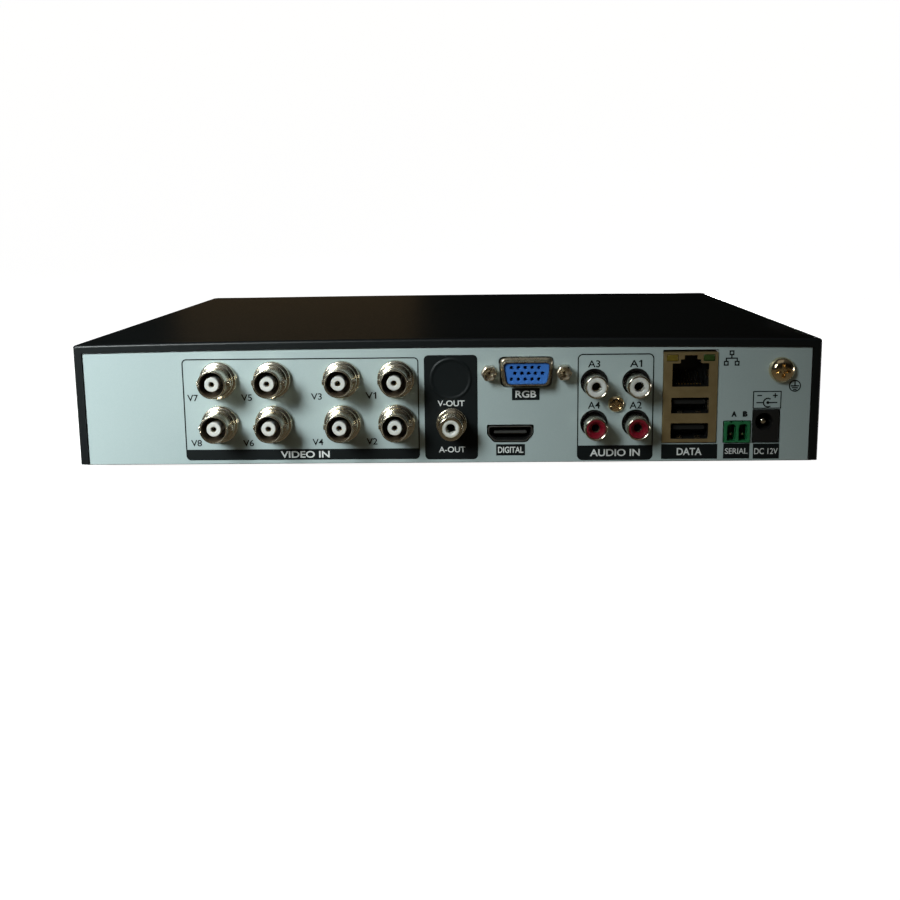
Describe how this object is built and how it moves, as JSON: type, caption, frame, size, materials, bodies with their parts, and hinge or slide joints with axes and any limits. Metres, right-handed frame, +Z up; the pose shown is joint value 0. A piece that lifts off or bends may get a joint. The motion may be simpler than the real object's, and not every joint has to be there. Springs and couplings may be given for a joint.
{
  "type": "digital video recorder",
  "caption": "Desktop video recorder: bent sheet-metal case, moulded front with a window and keys, and a rear panel of video, audio, network and power sockets.",
  "frame": {"origin": "middle of the overall footprint, on the surface that the feet stand on", "axes": "+Z up, -Y out of the front with the window and keys, +Y out of the rear socket panel, +X to the right as the front is seen"},
  "size_m": [0.2548, 0.2514, 0.0445],
  "materials": {
    "black_coat": "satin black powder coat",
    "zinc_sheet": "plain zinc-plated sheet",
    "panel_print": "light grey-blue printed film, black and white print",
    "black_plastic": "satin black moulding with fine grain",
    "smoked_window": "dark smoked, gloss",
    "rubber": "matt black",
    "lamp": "milky clear",
    "nickel": "bright nickel plating",
    "gold_nickel": "yellowish plated",
    "tin_shield": "tinned, warm",
    "blue_plastic": "satin blue moulding",
    "green_plastic": "satin green moulding",
    "circuit_board": "green solder mask",
    "aluminium": "plain",
    "red_cable": "satin",
    "grey_cable": "satin"
  },
  "bodies": {
    "recorder": {"top_cover": "black_coat", "cover_screw_front_left": "black_coat", "cover_screw_rear_left": "black_coat", "cover_screw_front_right": "black_coat", "cover_screw_rear_right": "black_coat", "base_chassis": "zinc_sheet", "rear_label": "panel_print", "front_bezel": "black_plastic", "audio_in_block": "black_plastic", "power_jack": "black_plastic", "lan_bus_insert": "black_plastic", "video_jack_housing_1": "black_plastic", "video_jack_housing_2": "black_plastic", "video_jack_housing_3": "black_plastic", "video_jack_housing_4": "black_plastic", "display_lens": "smoked_window", "ir_receiver": "smoked_window", "foot_front_left": "rubber", "foot_rear_left": "rubber", "foot_front_right": "rubber", "foot_rear_right": "rubber", "alarm_led": "lamp", "rec_led": "lamp", "power_led": "lamp", "audio_out_jack": "nickel", "display_port_shell": "nickel", "display_port_screw_left": "nickel", "display_port_screw_right": "nickel", "digital_video_socket": "nickel", "video_jack_1": "nickel", "video_jack_2": "nickel", "video_jack_3": "nickel", "video_jack_4": "nickel", "video_jack_5": "nickel", "video_jack_6": "nickel", "video_jack_7": "nickel", "video_jack_8": "nickel", "audio_in_jack_1": "nickel", "audio_in_jack_2": "nickel", "audio_in_jack_3": "nickel", "audio_in_jack_4": "nickel", "audio_block_screw": "gold_nickel", "ground_screw": "gold_nickel", "lan_bus_shield": "tin_shield", "display_port_insert": "blue_plastic", "serial_terminal": "green_plastic", "key_board": "circuit_board", "main_board": "circuit_board", "heat_sink": "aluminium", "hard_disk": "aluminium", "drive_data_cable": "red_cable", "drive_power_cable": "grey_cable", "key_cable": "grey_cable"},
    "esc_key": {"esc_key": "black_plastic"},
    "menu_key": {"menu_key": "black_plastic"},
    "up_key": {"up_key": "black_plastic"},
    "left_key": {"left_key": "black_plastic"},
    "down_key": {"down_key": "black_plastic"},
    "right_key": {"right_key": "black_plastic"},
    "ok_key": {"ok_key": "black_plastic"}
  },
  "joints": [
    {"name": "esc_key_press", "type": "slide", "parent": "recorder", "child": "esc_key", "axis": [0, 1, 0], "range_m": [0, 0.0006], "stiffness_N_per_m": 1500, "springref_m": -0.0004},
    {"name": "menu_key_press", "type": "slide", "parent": "recorder", "child": "menu_key", "axis": [0, 1, 0], "range_m": [0, 0.0006], "stiffness_N_per_m": 1500, "springref_m": -0.0004},
    {"name": "up_key_press", "type": "slide", "parent": "recorder", "child": "up_key", "axis": [0, 1, 0], "range_m": [0, 0.0006], "stiffness_N_per_m": 1500, "springref_m": -0.0004},
    {"name": "left_key_press", "type": "slide", "parent": "recorder", "child": "left_key", "axis": [0, 1, 0], "range_m": [0, 0.0006], "stiffness_N_per_m": 1500, "springref_m": -0.0004},
    {"name": "down_key_press", "type": "slide", "parent": "recorder", "child": "down_key", "axis": [0, 1, 0], "range_m": [0, 0.0006], "stiffness_N_per_m": 1500, "springref_m": -0.0004},
    {"name": "right_key_press", "type": "slide", "parent": "recorder", "child": "right_key", "axis": [0, 1, 0], "range_m": [0, 0.0006], "stiffness_N_per_m": 1500, "springref_m": -0.0004},
    {"name": "ok_key_press", "type": "slide", "parent": "recorder", "child": "ok_key", "axis": [0, 1, 0], "range_m": [0, 0.0006], "stiffness_N_per_m": 1500, "springref_m": -0.0004}
  ]
}
